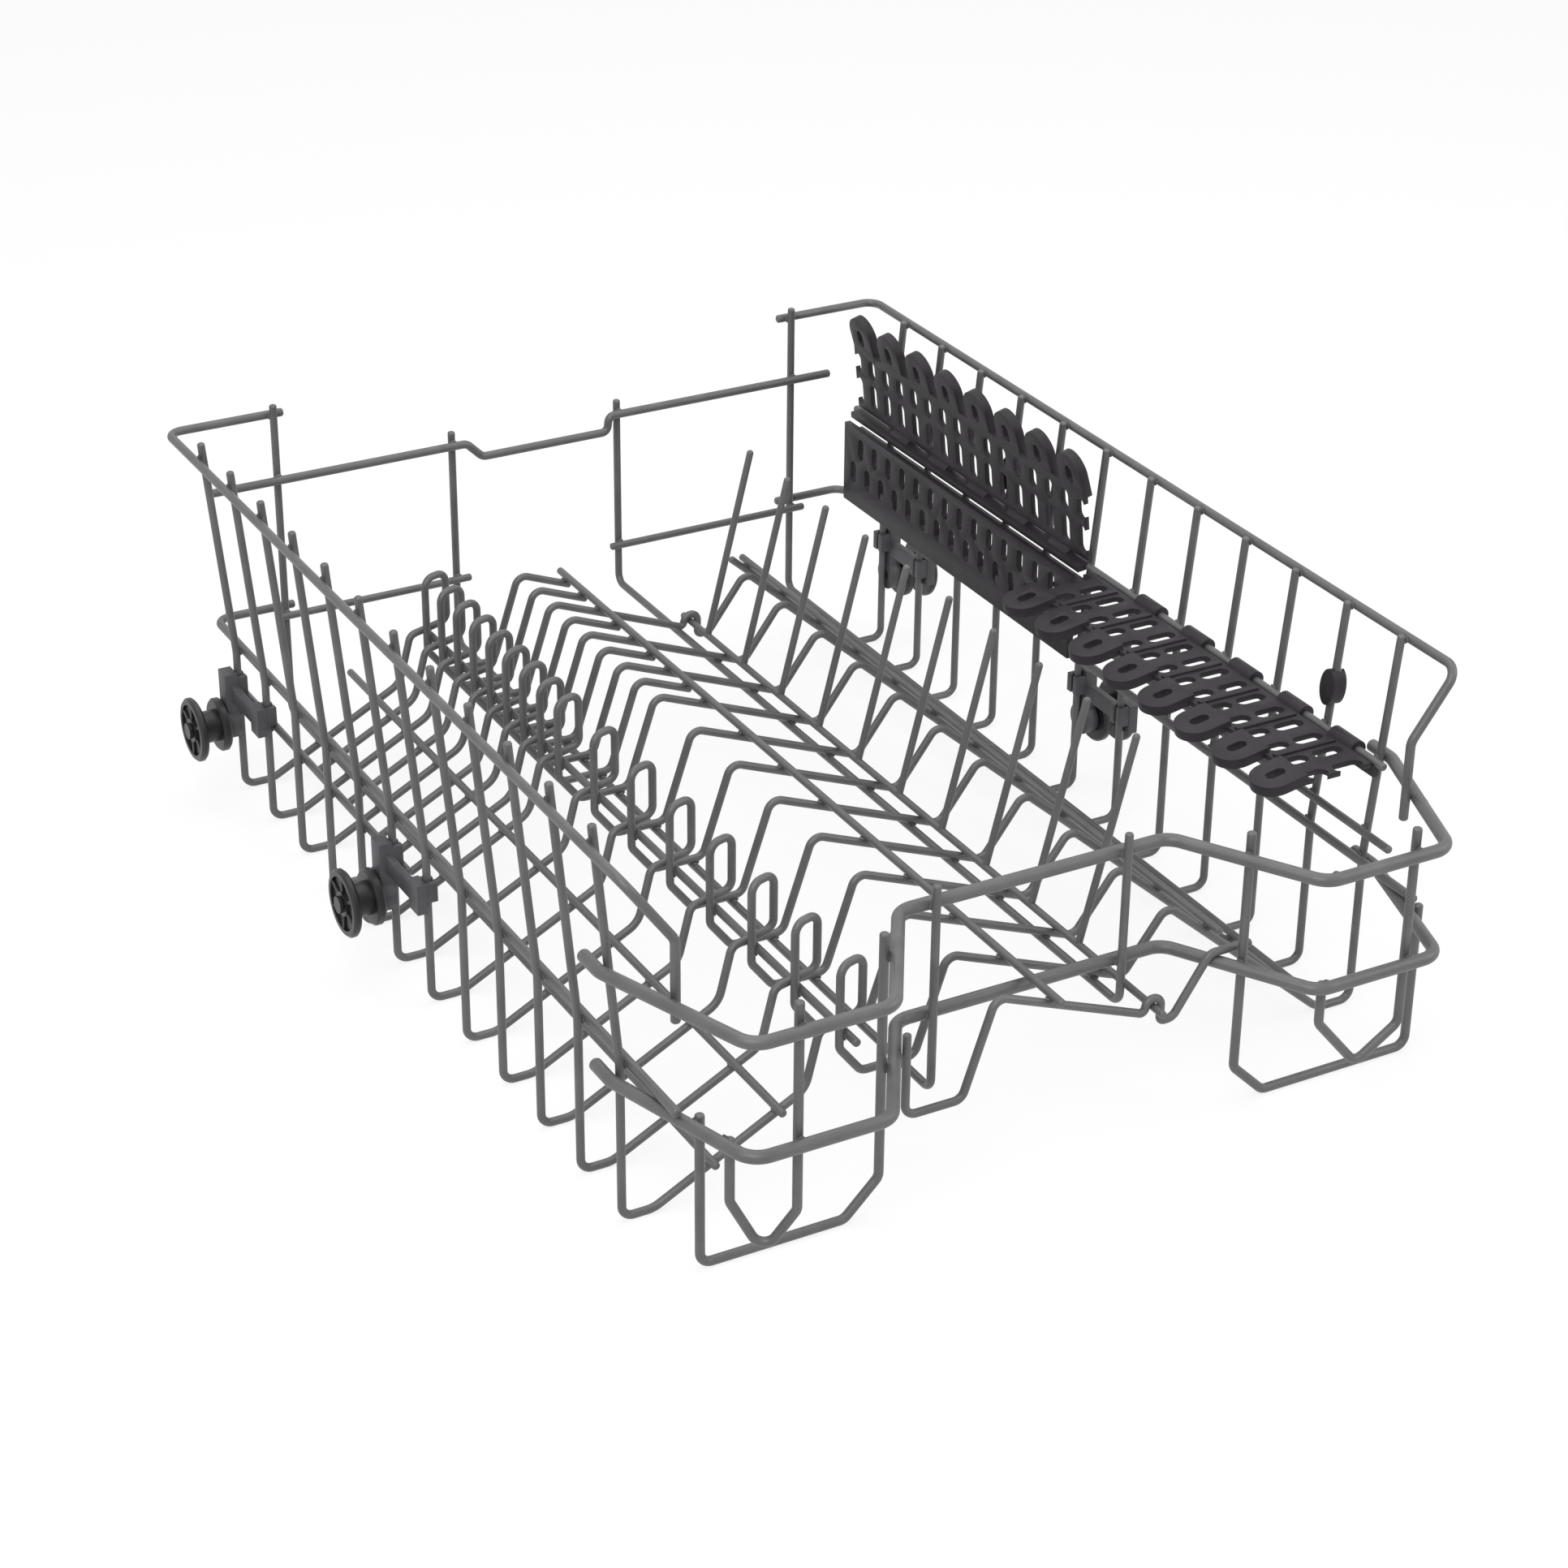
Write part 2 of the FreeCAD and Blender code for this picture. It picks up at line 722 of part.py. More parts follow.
carrier_inner_x = wall_half_width + wire / 2 + weld_gap
carrier_outer_x = carrier_inner_x + carrier_thickness
roller_inner_x = carrier_outer_x + roller_side_play
roller_width = roller_outer_flange + roller_inner_flange + roller_groove
roller_outer_x = roller_inner_x + roller_width


def rib_jaws(y, low, outer_x):
    """Pair of jaws that snap round a rib from outside, up to a bracket's outer face."""
    inner_x = wall_half_width - wire / 2 - weld_gap - jaw_lip
    top = low + jaw_height
    jaws = []
    for side in (-1, 1):
        near = y + side * (wire / 2 + weld_gap)
        far = near + side * jaw_thickness
        lip = near - side * jaw_lip
        jaws.append(block(inner_x, outer_x, min(near, far), max(near, far), low, top))
        jaws.append(block(inner_x, inner_x + jaw_lip, min(lip, far), max(lip, far), low, top))
    return jaws


def roller_carrier(y):
    """Plastic bracket outside a rib, with a boss for the axle and an arm to a clip on the next rib."""
    along = Vector(1, 0, 0)
    seat = Vector(carrier_inner_x, y, axle_height)
    clip_y = y - rib_pitch
    clip_x = carrier_inner_x + clip_thickness
    body = block(carrier_inner_x, carrier_outer_x, y - carrier_half_width, y + carrier_half_width,
                 axle_height, axle_height + carrier_rise)
    body = body.fuse(Part.makeCylinder(carrier_boss_radius, carrier_thickness, seat, along))
    body = body.fuse(block(carrier_inner_x, carrier_inner_x + arm_thickness, clip_y, y,
                           axle_height + arm_bottom, axle_height + arm_bottom + arm_height))
    body = body.fuse(block(carrier_inner_x, clip_x, clip_y - carrier_half_width, clip_y + carrier_half_width,
                           axle_height + clip_bottom, axle_height + clip_bottom + clip_height))
    jaw_low = axle_height + jaw_bottom
    body = body.fuse(rib_jaws(y, jaw_low, carrier_outer_x) + rib_jaws(clip_y, jaw_low, clip_x))
    bore = Part.makeCylinder(axle_diameter / 2 + pin_clearance, carrier_thickness, seat, along)
    return body.cut(bore).removeSplitter()


def axle(y):
    """Pin through the carrier and roller, with a head that keeps the roller on."""
    along = Vector(1, 0, 0)
    head_x = roller_outer_x + roller_side_play
    pin = Part.makeCylinder(axle_diameter / 2, head_x - carrier_inner_x,
                            Vector(carrier_inner_x, y, axle_height), along)
    head = Part.makeCylinder(axle_head_diameter / 2, axle_head_thickness,
                             Vector(head_x, y, axle_height), along)
    return pin.fuse(head).removeSplitter()


def roller(y):
    """Double-flanged roller: the machine's rail runs in the groove between the flanges."""
    bore = axle_diameter / 2 + pivot_clearance
    x0 = roller_inner_x
    x1 = x0 + roller_inner_flange
    x2 = x1 + roller_groove
    x3 = roller_outer_x
    recess_x = x3 - roller_recess_depth
    outline = [
        (x0, bore), (x0, roller_inner_radius - roller_edge), (x0 + roller_edge, roller_inner_radius),
        (x1 - roller_edge, roller_inner_radius), (x1, roller_inner_radius - roller_edge),
        (x1, roller_hub_radius), (x2, roller_hub_radius),
        (x2, roller_radius - roller_edge), (x2 + roller_edge, roller_radius),
        (x3 - roller_edge, roller_radius), (x3, roller_radius - roller_edge), (x3, roller_recess_outer),
        (recess_x, roller_recess_outer), (recess_x, roller_recess_inner), (x3, roller_recess_inner),
        (x3, bore),
    ]
    points = [Vector(x, y, axle_height + radius) for x, radius in outline]
    face = Part.Face(Part.makePolygon(points + points[:1]))
    return face.revolve(Vector(0, y, axle_height), Vector(1, 0, 0), 2 * half_turn)


# Ribs: the rearmost one is open in the middle, and short ones part the plates at the back
parts["rib_01_left"] = short_rib(left_wall_corners(rib_y(0)), rib_y(0))
parts["rib_01_right"] = rear_right_rib()
for number in range(1, rib_count):
    parts["rib_%02d" % (number + 1)] = full_rib(number)
short_start_x, short_start_z = beside(*left_slope, left_post_place[0] - wire_tail, 0)
for number in range(short_rib_count):
    y = rib_y(number + 0.5)
    parts["rib_between_%d" % (number + 1)] = short_rib([(short_start_x, y, short_start_z, 0)], y)
parts["front_rib"] = front_rib()

# Rims, rings and front rails
parts["left_top_rim"] = mirrored(top_rim(-left_post_place[0]))
parts["right_top_rim"] = top_rim(right_post_place[0])
parts["left_lower_ring"] = mirrored(lower_ring(-left_post_place[0]))
parts["right_lower_ring"] = lower_ring(right_post_place[0])
parts["front_upper_rail"] = front_rail(upper_rail_height, upper_rail_end_x)
parts["front_lower_rail"] = front_rail(lower_rail_height, lower_rail_end_x)

# Feet and braces
parts["left_front_foot"] = mirrored(front_foot(-1))
parts["right_front_foot"] = front_foot(1)
short_reach = last_rib + left_brace_short_overhang
parts["left_corner_brace"] = corner_brace(left_brace_inset - corner_half_width,
                                          -beside_shoulder(lower_rail_end_x, short_reach, -1),
                                          forward(short_reach), left_brace_bends)
parts["right_corner_brace"] = corner_brace(corner_half_width - right_brace_inset,
                                           bay_inner_half_width + right_brace_short_offset,
                                           forward(front_reach) + rim_rail_pitch, right_brace_bends)

# Posts and back wires
left_centre_place = (-left_centre_x, trough_height - weld_pitch)
right_centre_place = beside(*plateau, right_centre_x, -weld_pitch)
parts["left_rear_post"] = rear_post(left_post_place)
parts["right_rear_post"] = rear_post(right_post_place)
parts["left_centre_wire"] = centre_wire(*left_centre_place)
parts["right_centre_wire"] = centre_wire(*right_centre_place)
parts["upper_back_wire"] = upper_back_wire(left_centre_place[0], right_centre_place[0])
parts["left_lower_back_wire"] = lower_back_wire(left_post_place[0] - post_overlap,
                                                left_centre_place[0] + post_overlap)
parts["right_lower_back_wire"] = lower_back_wire(right_centre_place[0] - post_overlap,
                                                 right_post_place[0] + post_overlap)

# Wires along the floor and walls
parts["left_floor_wire"] = straight_wire(*beside(*left_slope, -left_floor_wire_x, weld_pitch),
                                         -back_reach + weld_pitch, last_rib + wire_tail)
parts["loop_wire"] = straight_wire(-loop_left + weld_pitch, loop_cross_height - loop_wire_drop,
                                   -wire_tail, last_rib + wire_tail)
parts["plateau_wire"] = straight_wire(*beside(*plateau, -plateau_wire_x, weld_pitch),
                                      -wire_tail, front_rib_reach + wire_tail)
parts["ridge_wire"] = straight_wire(*beside(*right_slope, ridge_wire_x, weld_pitch),
                                    -wire_tail, last_rib + wire_tail)
carrier_wire_front = carrier_wire_ribs * rib_pitch + wire_tail
parts["left_carrier_wire"] = straight_wire(weld_pitch - wall_half_width, carrier_wire_height,
                                           -wire_tail, carrier_wire_front)
parts["shelf_hinge_wire"] = straight_wire(hinge_x, hinge_z, -back_reach + wire / 2, last_rib + wire_tail)
parts["right_wall_wire"] = straight_wire(wall_wire_x, wall_wire_height, -wire_tail,
                                         last_rib + wall_wire_overhang)

# Folding row of tines, cup shelves, their skirt and catches
parts["folding_tine_row"] = folding_tines()
parts["rear_cup_shelf"] = lifted(cup_shelf(rear_shelf_first_rib))
parts["front_cup_shelf"] = cup_shelf(front_shelf_first_rib)
parts["rear_shelf_skirt"] = shelf_skirt()
parts["rear_shelf_catch"] = shelf_catch(rear_catch_rib)
parts["front_shelf_catch"] = shelf_catch(front_catch_rib)

# Rollers
for place, y in (("rear", rib_y(0)), ("front", rib_y(front_axle_rib))):
    for side in ("left", "right"):
        pieces = {"roller_carrier": roller_carrier(y), "axle": axle(y), "roller": roller(y)}
        for name, piece in pieces.items():
            parts["%s_%s_%s" % (place, side, name)] = mirrored(piece) if side == "left" else piece

os.makedirs("parts", exist_ok=True)
for name, shape in parts.items():
    shape.exportStep("parts/%s.step" % name)
print("%d parts" % len(parts))
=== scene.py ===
"""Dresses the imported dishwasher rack: coated wire, moulded plastic, weld webs, spokes and a studio."""
import json
import math

import bpy
from bpy.props import FloatProperty, FloatVectorProperty, IntProperty, PointerProperty
from bpy.types import Operator, Panel, PropertyGroup
from mathutils import Matrix, Vector
from mathutils.bvhtree import BVHTree


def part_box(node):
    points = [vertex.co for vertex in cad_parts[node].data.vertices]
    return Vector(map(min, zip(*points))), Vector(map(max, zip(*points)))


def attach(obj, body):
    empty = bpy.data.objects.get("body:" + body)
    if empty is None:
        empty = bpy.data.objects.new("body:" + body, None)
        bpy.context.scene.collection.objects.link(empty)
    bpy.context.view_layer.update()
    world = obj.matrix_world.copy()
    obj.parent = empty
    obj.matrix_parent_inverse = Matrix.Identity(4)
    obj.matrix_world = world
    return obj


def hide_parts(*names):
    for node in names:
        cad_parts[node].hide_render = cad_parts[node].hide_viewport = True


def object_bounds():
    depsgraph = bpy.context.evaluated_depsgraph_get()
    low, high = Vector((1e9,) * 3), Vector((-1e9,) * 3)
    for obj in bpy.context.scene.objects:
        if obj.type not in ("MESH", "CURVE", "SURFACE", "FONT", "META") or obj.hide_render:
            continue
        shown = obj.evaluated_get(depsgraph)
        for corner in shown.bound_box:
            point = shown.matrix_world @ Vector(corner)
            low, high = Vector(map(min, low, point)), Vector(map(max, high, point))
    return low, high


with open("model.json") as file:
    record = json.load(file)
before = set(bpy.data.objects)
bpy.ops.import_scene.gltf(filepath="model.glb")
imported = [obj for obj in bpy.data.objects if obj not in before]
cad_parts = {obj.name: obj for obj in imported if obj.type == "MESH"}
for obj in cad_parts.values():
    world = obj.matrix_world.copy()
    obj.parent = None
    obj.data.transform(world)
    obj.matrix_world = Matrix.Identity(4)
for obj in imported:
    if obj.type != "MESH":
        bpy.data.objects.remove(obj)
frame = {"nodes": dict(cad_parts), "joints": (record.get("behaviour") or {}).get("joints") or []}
CAD_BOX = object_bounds()
NODES = frame["nodes"]

# Nodes by kind
RIBS = sorted(name for name in NODES if name.startswith("rib_"))
ROLLERS = sorted(name for name in NODES if name.endswith("_roller"))
CARRIERS = sorted(name for name in NODES if name.endswith("_carrier"))
AXLES = sorted(name for name in NODES if name.endswith("_axle"))
SHELVES = {"front_cup_shelf": "front_shelf", "rear_cup_shelf": "rear_shelf"}
SHELF_FITTINGS = ("front_shelf_catch", "rear_shelf_catch", "rear_shelf_skirt")
PLASTIC = set(ROLLERS) | set(CARRIERS) | set(SHELVES) | set(SHELF_FITTINGS)
WIRES = sorted(set(NODES) - PLASTIC - set(AXLES))
RAILS = ("front_lower_rail", "front_upper_rail")
RIMS = ("left_top_rim", "right_top_rim", "left_lower_ring", "right_lower_ring")
FEET = ("left_front_foot", "right_front_foot")
BRACES = ("left_corner_brace", "right_corner_brace")
CENTRE_WIRES = ("left_centre_wire", "right_centre_wire")
BACK_UPRIGHTS = ("left_rear_post", "right_rear_post", *CENTRE_WIRES)
BACK_WIRES = ("upper_back_wire", "left_lower_back_wire", "right_lower_back_wire")
STRAIGHT_WIRES = ("left_floor_wire", "loop_wire", "plateau_wire", "ridge_wire", "left_carrier_wire",
                  "shelf_hinge_wire", "right_wall_wire")
THICK_WIRES = (*RIMS, *FEET, *BRACES, "upper_back_wire")

# Sizes read from the solids
WIRE_RADIUS = (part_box("plateau_wire")[1].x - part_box("plateau_wire")[0].x) / 2
RIM_RADIUS = (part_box("left_lower_ring")[1].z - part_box("left_lower_ring")[0].z) / 2
HINGE = next(joint for joint in frame["joints"] if joint["name"] == "front_shelf_fold")
HINGE_POINT = Vector((HINGE["pos_m"][0], 0, HINGE["pos_m"][2]))
FOLD_ANGLE = math.radians(HINGE["range_deg"][1])

# Noise of the finishes: its two tones, its detail, and how gloss and dimples follow from it
CLOUD_BAND = (0.3, 0.7)
CLOUD_DETAIL = 5
GLOSS_DETAIL = 3
GRAIN_DETAIL = 2
GLOSS_FINENESS = 0.35
DIMPLE_DEPTH = 0.25

# Edges: what is shaded smooth, merged flat or rounded, and with how many segments
SMOOTH_ANGLE = math.radians(40)
FLAT_ANGLE = math.radians(1)
SHARP_ANGLE = math.radians(35)
MERGE_DISTANCE = 0.000002
ROUND_SEGMENTS = 2

# Shares of a web's radius and thickness, of a spoke's depth and width, and of a shelf rib's height
WEB_BEAD = 0.8
WEB_EDGE_BAND = 0.1
SPOKE_SINK = 0.6
SPOKE_ROUND = 0.3
SHELF_RIB_ROUND = 0.4
WEB_SEGMENTS = 8
WEB_RINGS = 6

# Studio: place and width of each lamp, whites and the camera's film
KEY_LAMP = ((-1.1, -1.0, 1.5), 1.4)
FILL_LAMP = ((1.3, -0.8, 1.0), 1.2)
TOP_LAMP = ((0.1, 0.4, 1.8), 1.6)
WHITE = (1, 1, 1, 1)
FLOOR_WHITE = (0.92, 0.92, 0.92, 1)
FLOOR_ROUGHNESS = 0.9
FLOOR_SPECULAR = 0.1
SENSOR_WIDTH = 36.0

bl_info = {
    "name": "Dishwasher Rack Finish",
    "version": (1, 0, 0),
    "blender": (4, 5, 0),
    "location": "View3D > Sidebar > Rack",
    "description": "Finishes, weld webs and studio for a dishwasher's upper rack",
    "category": "Object",
}


class RackFinish(PropertyGroup):
    """Colours and surface grain of the rack."""

    wire_colour: FloatVectorProperty(
        name="Wire Coating", description="Grey of the coated wire",
        default=(0.083, 0.083, 0.085), size=3, min=0, max=1, subtype="COLOR")
    rail_colour: FloatVectorProperty(
        name="Rail Coating", description="Grey of the thick front rails",
        default=(0.086, 0.086, 0.088), size=3, min=0, max=1, subtype="COLOR")
    shelf_colour: FloatVectorProperty(
        name="Shelf Plastic", description="Charcoal of the cup shelves",
        default=(0.02, 0.0172, 0.02), size=3, min=0, max=1, subtype="COLOR")
    roller_colour: FloatVectorProperty(
        name="Roller Plastic", description="Near black of the rollers",
        default=(0.012, 0.012, 0.013), size=3, min=0, max=1, subtype="COLOR")
    carrier_colour: FloatVectorProperty(
        name="Carrier Plastic", description="Dark grey of the roller carriers",
        default=(0.056, 0.053, 0.058), size=3, min=0, max=1, subtype="COLOR")
    pin_colour: FloatVectorProperty(
        name="Pin Plastic", description="Near black of the rollers' pins",
        default=(0.015, 0.015, 0.016), size=3, min=0, max=1, subtype="COLOR")
    grain_size: FloatProperty(
        name="Grain", description="Size of the dimples in the coating and plastic",
        default=0.0008, min=0.0001, max=0.01, precision=5, unit="LENGTH")
    mottle_size: FloatProperty(
        name="Mottle", description="Size of the pale and dark clouds in the colour",
        default=0.014, min=0.001, max=0.1, precision=4, unit="LENGTH")


class RackDetail(PropertyGroup):
    """Sizes of the pieces added to the solids."""

    weld_radius: FloatProperty(
        name="Weld Web", description="Radius of the coated web where two wires cross",
        default=0.0023, min=0.0005, max=0.01, precision=5, unit="LENGTH")
    weld_thickness: FloatProperty(
        name="Web Thickness", description="Half thickness of a weld web",
        default=0.0009, min=0.0002, max=0.005, precision=5, unit="LENGTH")
    weld_reach: FloatProperty(
        name="Weld Reach", description="Widest gap that counts as a weld",
        default=0.0006, min=0.0001, max=0.002, precision=5, unit="LENGTH")
    spoke_count: IntProperty(
        name="Spokes", description="Ribs on a roller's outer face", default=6, min=3, max=12)
    spoke_inner: FloatProperty(
        name="Spoke Start", description="Distance of a spoke's inner end from the axle",
        default=0.0052, min=0.001, max=0.02, precision=4, unit="LENGTH")
    spoke_outer: FloatProperty(
        name="Spoke End", description="Distance of a spoke's outer end from the axle",
        default=0.0122, min=0.002, max=0.03, precision=4, unit="LENGTH")
    spoke_width: FloatProperty(
        name="Spoke Width", description="Width of a spoke",
        default=0.0018, min=0.0005, max=0.01, precision=4, unit="LENGTH")
    spoke_depth: FloatProperty(
        name="Spoke Depth", description="Depth of a spoke along the axle",
        default=0.0016, min=0.0005, max=0.01, precision=4, unit="LENGTH")
    shelf_rib_count: IntProperty(
        name="Shelf Ribs", description="Raised ribs across a cup shelf", default=7, min=1, max=20)
    shelf_rib_pitch: FloatProperty(
        name="Rib Pitch", description="Distance between the ribs of a shelf",
        default=0.027, min=0.005, max=0.1, precision=4, unit="LENGTH")
    shelf_rib_width: FloatProperty(
        name="Rib Width", description="Width of a shelf rib",
        default=0.0026, min=0.0005, max=0.01, precision=4, unit="LENGTH")
    shelf_rib_height: FloatProperty(
        name="Rib Height", description="How far a shelf rib stands up",
        default=0.001, min=0.0002, max=0.005, precision=5, unit="LENGTH")
    shelf_rib_length: FloatProperty(
        name="Rib Length", description="Length of a shelf rib",
        default=0.03, min=0.005, max=0.1, precision=4, unit="LENGTH")
    shelf_rib_place: FloatProperty(
        name="Rib Place", description="From the hinge to the middle of a shelf rib",
        default=0.0203, min=0.005, max=0.1, precision=4, unit="LENGTH")
    shelf_face: FloatProperty(
        name="Shelf Face", description="Height of a shelf's face above its hinge",
        default=0.0012, min=0.0002, max=0.01, precision=5, unit="LENGTH")
    edge_round: FloatProperty(
        name="Edge Round", description="Width of the rounding on moulded edges",
        default=0.0005, min=0.0001, max=0.002, precision=5, unit="LENGTH")


class RackStage(PropertyGroup):
    """Camera and studio."""

    azimuth: FloatProperty(
        name="Azimuth", description="Heading of the camera to the right of straight ahead",
        default=math.radians(28.93), subtype="ANGLE")
    elevation: FloatProperty(
        name="Elevation", description="Height of the camera above the horizon",
        default=math.radians(28.19), subtype="ANGLE")
    roll: FloatProperty(
        name="Roll", description="Tilt of the camera about its own axis",
        default=math.radians(0.57), subtype="ANGLE")
    distance: FloatProperty(
        name="Distance", description="From the camera to the point it looks at",
        default=1.593, min=0.1, unit="LENGTH")
    target: FloatVectorProperty(
        name="Target", description="Point that the camera looks at",
        default=(0.0156, 0.0348, 0.0417), size=3, subtype="XYZ", unit="LENGTH")
    lens: FloatProperty(
        name="Lens", description="Focal length", default=82.07, min=10, unit="CAMERA")
    floor_size: FloatProperty(
        name="Floor", description="Width of the floor", default=8.0, min=1, unit="LENGTH")
    floor_glow: FloatProperty(
        name="Floor Glow", description="Share of plain white in what the camera sees",
        default=0.8, min=0, max=1, subtype="FACTOR")
    sky_strength: FloatProperty(
        name="Sky", description="Strength of the light from all round", default=0.55, min=0)
    key_power: FloatProperty(
        name="Key Light", description="Power of the large lamp at the left",
        default=22.0, min=0, unit="POWER")
    fill_power: FloatProperty(
        name="Fill Light", description="Power of the lamp at the right",
        default=9.0, min=0, unit="POWER")
    top_power: FloatProperty(
        name="Top Light", description="Power of the lamp overhead",
        default=14.0, min=0, unit="POWER")


# Materials
def noise(tree, scale, detail):
    """Noise on Object coordinates."""
    coordinates = tree.nodes.new("ShaderNodeTexCoord")
    texture = tree.nodes.new("ShaderNodeTexNoise")
    texture.inputs["Scale"].default_value = scale
    texture.inputs["Detail"].default_value = detail
    tree.links.new(coordinates.outputs["Object"], texture.inputs["Vector"])
    return texture.outputs["Fac"]


def tones(tree, source, low, high):
    """Colour that goes from a darker to a paler tone."""
    ramp = tree.nodes.new("ShaderNodeValToRGB")
    for element, place, tone in zip(ramp.color_ramp.elements, CLOUD_BAND, (low, high)):
        element.position = place
        element.color = (*tone, 1)
    tree.links.new(source, ramp.inputs["Fac"])
    return ramp.outputs["Color"]


def spread(tree, source, low, high):
    """Value mapped from 0..1 to a narrower band."""
    band = tree.nodes.new("ShaderNodeMapRange")
    band.inputs["To Min"].default_value = low
    band.inputs["To Max"].default_value = high
    tree.links.new(source, band.inputs["Value"])
    return band.outputs["Result"]


def grained_material(name, colour, contrast, roughness, dimple):
    """Surface with clouded colour, uneven gloss and fine dimples."""
    finish = bpy.context.scene.rack_finish
    material = bpy.data.materials.new(name)
    material.use_nodes = True
    tree = material.node_tree
    shader = tree.nodes["Principled BSDF"]
    clouds = noise(tree, 1 / finish.mottle_size, CLOUD_DETAIL)
    low = [channel * (1 - contrast) for channel in colour]
    high = [min(1, channel * (1 + contrast)) for channel in colour]
    tree.links.new(tones(tree, clouds, low, high), shader.inputs["Base Color"])
    gloss = noise(tree, GLOSS_FINENESS / finish.mottle_size, GLOSS_DETAIL)
    tree.links.new(spread(tree, gloss, *roughness), shader.inputs["Roughness"])
    grain = noise(tree, 1 / finish.grain_size, GRAIN_DETAIL)
    bump = tree.nodes.new("ShaderNodeBump")
    bump.inputs["Strength"].default_value = dimple
    bump.inputs["Distance"].default_value = finish.grain_size * DIMPLE_DEPTH
    tree.links.new(grain, bump.inputs["Height"])
    tree.links.new(bump.outputs["Normal"], shader.inputs["Normal"])
    material.diffuse_color = (*colour, 1)
    return material


def coating(name, colour):
    """Dipped coating of a steel wire: satin, slightly clouded, with the finest orange peel."""
    material = grained_material(name, colour, contrast=0.16, roughness=(0.34, 0.52), dimple=0.25)
    shader = material.node_tree.nodes["Principled BSDF"]
    shader.inputs["Specular IOR Level"].default_value = 0.55
    shader.inputs["Coat Weight"].default_value = 0.12
    shader.inputs["Coat Roughness"].default_value = 0.3
    return material


def moulded(name, colour, roughness, specular=0.45):
    """Moulded plastic with a spark-eroded grain."""
    material = grained_material(name, colour, contrast=0.22, roughness=roughness, dimple=0.45)
    shader = material.node_tree.nodes["Principled BSDF"]
    shader.inputs["Specular IOR Level"].default_value = specular
    return material


def paint(names, material):
    """Gives CAD nodes a finish in place of their plain material."""
    for name in names:
        mesh = NODES[name].data
        mesh.materials.clear()
        mesh.materials.append(material)


# Modelling helpers
def deselect():
    """Leaves nothing selected before a new primitive."""
    if bpy.context.object and bpy.context.object.mode != "OBJECT":
        bpy.ops.object.mode_set(mode="OBJECT")
    bpy.ops.object.select_all(action="DESELECT")


def select_only(pieces):
    """Selects these pieces, the first one active."""
    deselect()
    for piece in pieces:
        piece.select_set(True)
    bpy.context.view_layer.objects.active = pieces[0]


def settle(piece, name, material, body):
    """Names a finished piece, puts its place in its mesh and hangs it on a body."""
    select_only([piece])
    bpy.ops.object.transform_apply(location=True, rotation=True, scale=True)
    bpy.ops.object.shade_smooth_by_angle(angle=SMOOTH_ANGLE)
    piece.name = name
    piece.data.name = name
    piece.data.materials.clear()
    piece.data.materials.append(material)
    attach(piece, body)


def copies_at(pattern, places):
    """Copies of a pattern at several matrices, joined into one piece. The pattern goes."""
    made = []
    for place in places:
        piece = pattern.copy()
        piece.data = pattern.data.copy()
        bpy.context.scene.collection.objects.link(piece)
        piece.matrix_world = place
        made.append(piece)
    bpy.data.objects.remove(pattern)
    select_only(made)
    bpy.ops.object.transform_apply(location=True, rotation=True, scale=True)
    bpy.ops.object.join()
    return bpy.context.object


def bevelled_bar(size, width):
    """Bar with rounded edges, about the origin."""
    deselect()
    bpy.ops.mesh.primitive_cube_add(size=1)
    bar = bpy.context.object
    bpy.ops.object.mode_set(mode="EDIT")
    bpy.ops.mesh.select_all(action="SELECT")
    bpy.ops.transform.resize(value=size)
    bpy.ops.mesh.bevel(offset=width, segments=ROUND_SEGMENTS, affect="EDGES")
    bpy.ops.object.mode_set(mode="OBJECT")
    return bar


def rounded_copy(node, width):
    """Copy of a solid with its flat faces merged and its sharp edges rounded."""
    piece = node.copy()
    piece.data = node.data.copy()
    piece.parent = None
    bpy.context.scene.collection.objects.link(piece)
    select_only([piece])
    bpy.ops.object.mode_set(mode="EDIT")
    bpy.ops.mesh.select_all(action="SELECT")
    bpy.ops.mesh.remove_doubles(threshold=MERGE_DISTANCE)
    bpy.ops.mesh.dissolve_limited(angle_limit=FLAT_ANGLE)
    bpy.ops.object.mode_set(mode="OBJECT")
    rounding = piece.modifiers.new("rounded_edges", "BEVEL")
    rounding.width = width
    rounding.segments = ROUND_SEGMENTS
    rounding.limit_method = "ANGLE"
    rounding.angle_limit = SHARP_ANGLE
    bpy.ops.object.modifier_apply(modifier="rounded_edges")
    return piece


# Weld webs
def wire_radius(name):
    """Radius of a wire node."""
    return RIM_RADIUS if name in THICK_WIRES else WIRE_RADIUS


def crossing_runs():
    """Wires that cross the ribs, each as (node, x, z) of its long straight run."""
    runs = []
    for name in STRAIGHT_WIRES:
        low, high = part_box(name)
        runs.append((name, (low.x + high.x) / 2, (low.z + high.z) / 2))
    for name in BACK_UPRIGHTS:
        low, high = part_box(name)
        runs.append((name, (low.x + high.x) / 2, low.z + WIRE_RADIUS))
    for name in RIMS:
        low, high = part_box(name)
        side = low.x + RIM_RADIUS if name.startswith("left") else high.x - RIM_RADIUS
        runs.append((name, side, high.z - RIM_RADIUS))
    return runs


